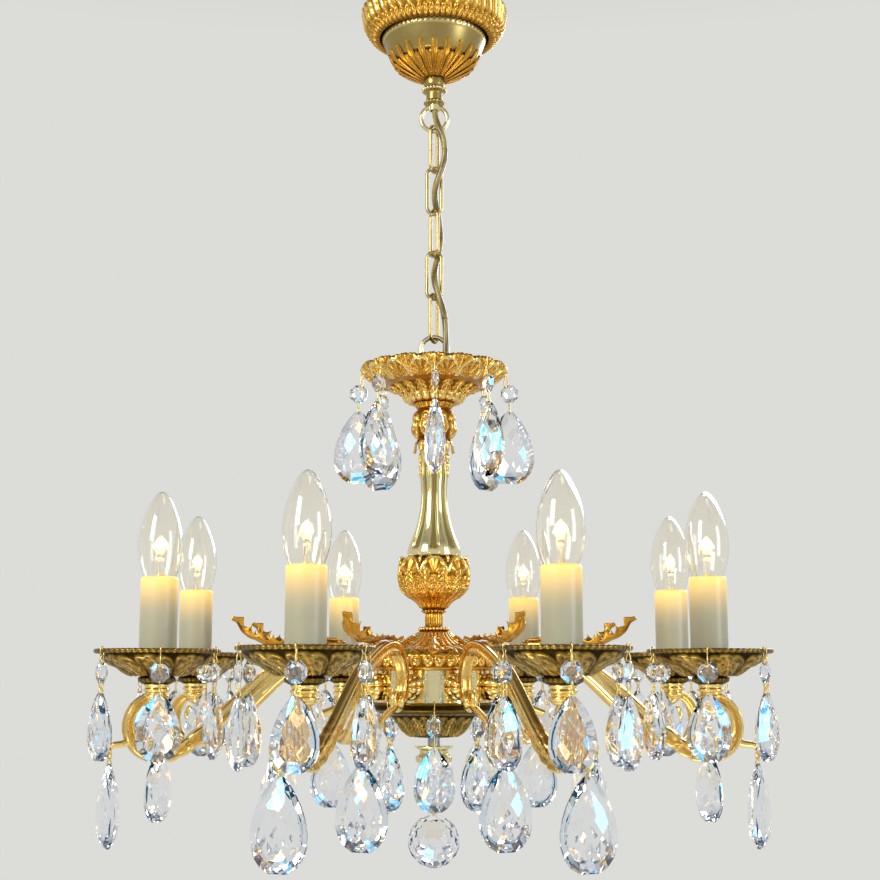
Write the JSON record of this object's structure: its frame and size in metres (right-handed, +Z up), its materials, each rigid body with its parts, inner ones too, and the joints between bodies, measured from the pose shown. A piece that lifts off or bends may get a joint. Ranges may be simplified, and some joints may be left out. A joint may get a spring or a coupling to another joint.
{
  "type": "crystal chandelier",
  "caption": "Chandelier on a chain: cast brass scroll arms round a turned column carry candle lamps on drip dishes, hung with cut crystal drops.",
  "frame": {"origin": "on the chandelier's axis in the ceiling plane, the top face of the ceiling bracket", "axes": "+Z up, out of the ceiling face; +X along the bracket's screw line; the picture looks along +Y"},
  "size_m": [0.5372, 0.5366, 0.7465],
  "materials": {
    "gold": "cast brass with a bright French-gold plating, toned dark in the recesses",
    "polished_brass": "spun and turned brass, polished and lacquered, pale",
    "antique_brass": "cast brass, antique patina, relieved on the high edges",
    "chain_brass": "brass-plated steel wire, antiqued",
    "pin_wire": "bright brass wire",
    "steel": "zinc-plated steel",
    "cord": "gold-tinted PVC two-core cord",
    "block": "moulded thermoset, off-white",
    "sleeve": "ivory candle sleeve",
    "cap": "E14 cap, rolled nickel-plated brass",
    "bulb": "clear thin blown glass",
    "crystal": "clear lead crystal, cut and polished"
  },
  "bodies": {
    "ceiling": {"ceiling_bracket": "steel", "hanging_stem": "steel", "terminal_block": "block", "canopy_bowl": "polished_brass", "canopy_leaf_ring": "gold", "canopy_leaf_cup": "gold", "canopy_neck": "polished_brass", "canopy_loop": "polished_brass", "supply_cord": "cord"},
    "link_1": {"chain_link_1": "chain_brass"},
    "link_2": {"chain_link_2": "chain_brass"},
    "link_3": {"chain_link_3": "chain_brass"},
    "link_4": {"chain_link_4": "chain_brass"},
    "link_5": {"chain_link_5": "chain_brass"},
    "chandelier": {"crown_dish": "gold", "crown_cup": "gold", "column_capital": "gold", "column_leaf_cup": "gold", "column_waist": "gold", "hub_cover": "gold", "arm_1": "gold", "arm_2": "gold", "arm_3": "gold", "arm_4": "gold", "arm_5": "gold", "arm_6": "gold", "arm_7": "gold", "arm_8": "gold", "crown_ring": "polished_brass", "column_vase": "polished_brass", "hub_band_upper": "polished_brass", "hub_band_lower": "polished_brass", "hub_finial": "polished_brass", "hub_bowl": "antique_brass", "bobeche_1": "antique_brass", "bobeche_2": "antique_brass", "bobeche_3": "antique_brass", "bobeche_4": "antique_brass", "bobeche_5": "antique_brass", "bobeche_6": "antique_brass", "bobeche_7": "antique_brass", "bobeche_8": "antique_brass", "crystal_pins": "pin_wire", "tie_rod": "steel", "lamp_holders": "block", "candle_sleeves": "sleeve", "bulb_caps": "cap", "bulb_glasses": "bulb", "bobeche_crystals": "crystal", "centre_crystals": "crystal", "inner_drops": "crystal"},
    "drop_1": {"outer_drop_1": "crystal"},
    "drop_2": {"outer_drop_2": "crystal"},
    "drop_3": {"outer_drop_3": "crystal"},
    "drop_4": {"outer_drop_4": "crystal"},
    "drop_5": {"outer_drop_5": "crystal"},
    "drop_6": {"outer_drop_6": "crystal"},
    "drop_7": {"outer_drop_7": "crystal"},
    "drop_8": {"outer_drop_8": "crystal"},
    "ball": {"bottom_ball": "crystal"}
  },
  "joints": [
    {"name": "chain_swing_1", "type": "hinge", "parent": "ceiling", "child": "link_1", "pos_m": [0, 0, -0.1195], "axis": [1, 0, 0], "range_deg": [-10, 10], "deforming": ["supply_cord"]},
    {"name": "chain_swing_2", "type": "hinge", "parent": "link_1", "child": "link_2", "pos_m": [0, 0, -0.1572], "axis": [0.5, 0.866, 0], "range_deg": [-10, 10], "deforming": ["supply_cord"]},
    {"name": "chain_swing_3", "type": "hinge", "parent": "link_2", "child": "link_3", "pos_m": [0, 0, -0.1953], "axis": [1, 0, 0], "range_deg": [-10, 10], "deforming": ["supply_cord"]},
    {"name": "chain_swing_4", "type": "hinge", "parent": "link_3", "child": "link_4", "pos_m": [0, 0, -0.2334], "axis": [0.5, -0.866, 0], "range_deg": [-10, 10], "deforming": ["supply_cord"]},
    {"name": "chain_swing_5", "type": "hinge", "parent": "link_4", "child": "link_5", "pos_m": [0, 0, -0.2715], "axis": [1, 0, 0], "range_deg": [-10, 10], "deforming": ["supply_cord"]},
    {"name": "chain_swing_6", "type": "hinge", "parent": "link_5", "child": "chandelier", "pos_m": [0, 0, -0.3096], "axis": [0.5, 0.866, 0], "range_deg": [-10, 10], "deforming": ["supply_cord"]},
    {"name": "drop_swing_1", "type": "hinge", "parent": "chandelier", "child": "drop_1", "pos_m": [0.2439, 0.10103, -0.6602], "axis": [0.9239, 0.3827, 0], "range_deg": [-20, 20]},
    {"name": "drop_swing_2", "type": "hinge", "parent": "chandelier", "child": "drop_2", "pos_m": [0.10103, 0.2439, -0.6602], "axis": [0.3827, 0.9239, 0], "range_deg": [-20, 20]},
    {"name": "drop_swing_3", "type": "hinge", "parent": "chandelier", "child": "drop_3", "pos_m": [-0.10103, 0.2439, -0.6602], "axis": [-0.3827, 0.9239, 0], "range_deg": [-20, 20]},
    {"name": "drop_swing_4", "type": "hinge", "parent": "chandelier", "child": "drop_4", "pos_m": [-0.2439, 0.10103, -0.6602], "axis": [-0.9239, 0.3827, 0], "range_deg": [-20, 20]},
    {"name": "drop_swing_5", "type": "hinge", "parent": "chandelier", "child": "drop_5", "pos_m": [-0.2439, -0.10103, -0.6602], "axis": [-0.9239, -0.3827, 0], "range_deg": [-20, 20]},
    {"name": "drop_swing_6", "type": "hinge", "parent": "chandelier", "child": "drop_6", "pos_m": [-0.10103, -0.2439, -0.6602], "axis": [-0.3827, -0.9239, 0], "range_deg": [-20, 20]},
    {"name": "drop_swing_7", "type": "hinge", "parent": "chandelier", "child": "drop_7", "pos_m": [0.10103, -0.2439, -0.6602], "axis": [0.3827, -0.9239, 0], "range_deg": [-20, 20]},
    {"name": "drop_swing_8", "type": "hinge", "parent": "chandelier", "child": "drop_8", "pos_m": [0.2439, -0.10103, -0.6602], "axis": [0.9239, -0.3827, 0], "range_deg": [-20, 20]},
    {"name": "ball_swing", "type": "hinge", "parent": "chandelier", "child": "ball", "pos_m": [0, 0, -0.6993], "axis": [0, 1, 0], "range_deg": [-20, 20]}
  ]
}
